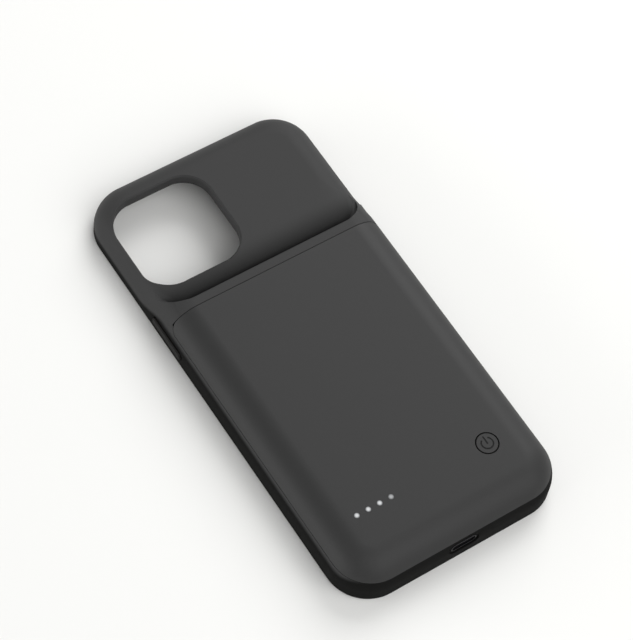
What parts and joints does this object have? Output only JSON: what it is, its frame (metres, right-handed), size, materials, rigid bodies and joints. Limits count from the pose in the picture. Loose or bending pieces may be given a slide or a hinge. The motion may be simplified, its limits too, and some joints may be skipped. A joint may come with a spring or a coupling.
{
  "type": "battery charging case",
  "caption": "Battery charging case: soft shell with camera opening, lip and bending groove, hard cover over the cell, charge lights, power button, side keys, phone plug and charging port.",
  "frame": {"origin": "middle of the outline at the front lip, on which the case lies", "axes": "+Z out of the back, +Y to the camera end, +X to the right seen from the back"},
  "size_m": [0.0782, 0.157, 0.0154],
  "materials": {
    "soft_shell": "matte moulded soft plastic",
    "cover": "soft-touch matte black",
    "tray": "fine moulded texture",
    "cell_pouch": "satin foil",
    "tape": "plain adhesive film",
    "circuit_board": "solder resist",
    "nickel": "rolled strip",
    "steel": "drawn and plated",
    "dark_steel": "drawn, black plated",
    "moulded_chip": "moulded epoxy",
    "ceramic": "fired ceramic",
    "lamp": "clear resin",
    "clear_guide": "clear moulded plastic",
    "gold": "gold plated",
    "key": "matte black"
  },
  "bodies": {
    "case": {"soft_shell": "soft_shell", "back_cover": "cover", "inner_tray": "tray", "battery_cell": "cell_pouch", "cell_tape": "tape", "protection_board": "circuit_board", "positive_lead": "nickel", "negative_lead": "nickel", "main_board": "circuit_board", "controller_chip": "moulded_chip", "boost_coil": "moulded_chip", "board_capacitors": "ceramic", "indicator_lamps": "lamp", "light_guide": "clear_guide", "switch_body": "steel", "plug_board": "circuit_board", "phone_plug": "steel", "plug_contacts": "gold", "plug_base": "moulded_chip", "port_shell": "dark_steel", "port_tongue": "moulded_chip"},
    "power_button": {"power_button": "cover", "switch_plunger": "moulded_chip"},
    "side_key": {"side_key": "key"},
    "volume_up_key": {"volume_up_key": "key"},
    "volume_down_key": {"volume_down_key": "key"}
  },
  "joints": [
    {"name": "power_press", "type": "slide", "parent": "case", "child": "power_button", "axis": [0, 0, -1], "range_m": [0, 0.00035], "stiffness_N_per_m": 300},
    {"name": "side_key_press", "type": "slide", "parent": "case", "child": "side_key", "axis": [1, 0, 0], "range_m": [0, 0.0005], "stiffness_N_per_m": 300},
    {"name": "volume_up_press", "type": "slide", "parent": "case", "child": "volume_up_key", "axis": [-1, 0, 0], "range_m": [0, 0.0005], "stiffness_N_per_m": 300},
    {"name": "volume_down_press", "type": "slide", "parent": "case", "child": "volume_down_key", "axis": [-1, 0, 0], "range_m": [0, 0.0005], "stiffness_N_per_m": 300}
  ]
}
